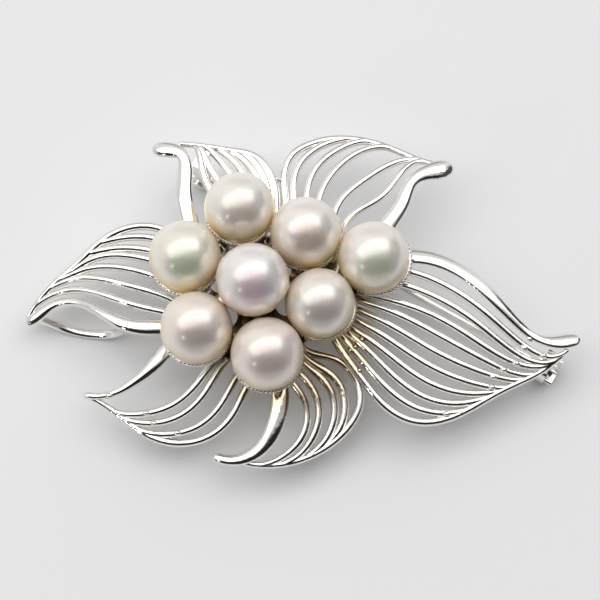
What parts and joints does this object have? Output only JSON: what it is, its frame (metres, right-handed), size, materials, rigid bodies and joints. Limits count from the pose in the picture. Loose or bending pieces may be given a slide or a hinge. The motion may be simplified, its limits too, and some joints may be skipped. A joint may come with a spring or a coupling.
{
  "type": "pearl brooch",
  "caption": "Spray brooch of soldered silver wire: open ribbed petals round a cluster of round pearls in low cups, with a hinged pin and a turning safety catch on the back.",
  "frame": {"origin": "middle of the whole outline, on the plane that the brooch rests on", "axes": "+X along the long right petal, +Y towards the two upper petals, +Z out of the brooch's front"},
  "size_m": [0.064, 0.0394, 0.0186],
  "materials": {
    "silver": "polished, lightly tarnished silver",
    "pearl_cream": "lustrous nacre",
    "pearl_green": "lustrous nacre",
    "pearl_rose": "lustrous nacre"
  },
  "bodies": {
    "frame": {"frame": "silver", "hinge_rivet": "silver", "pearl_centre": "pearl_rose", "pearl_top_left": "pearl_cream", "pearl_top": "pearl_cream", "pearl_far_right": "pearl_green", "pearl_right": "pearl_rose", "pearl_bottom": "pearl_rose", "pearl_bottom_left": "pearl_cream", "pearl_left": "pearl_green"},
    "pin": {"pin_stem": "silver"},
    "catch": {"catch_rotor": "silver"}
  },
  "joints": [
    {"name": "pin_swing", "type": "hinge", "parent": "frame", "child": "pin", "pos_m": [-0.01162, 0.0161, 0.0018], "axis": [0.5044, 0.8634, 0], "range_deg": [0, 70]},
    {"name": "catch_turn", "type": "hinge", "parent": "frame", "child": "catch", "pos_m": [0.02848, -0.00733, 0.0018], "axis": [0.8634, -0.5044, 0], "range_deg": [0, 100]}
  ]
}
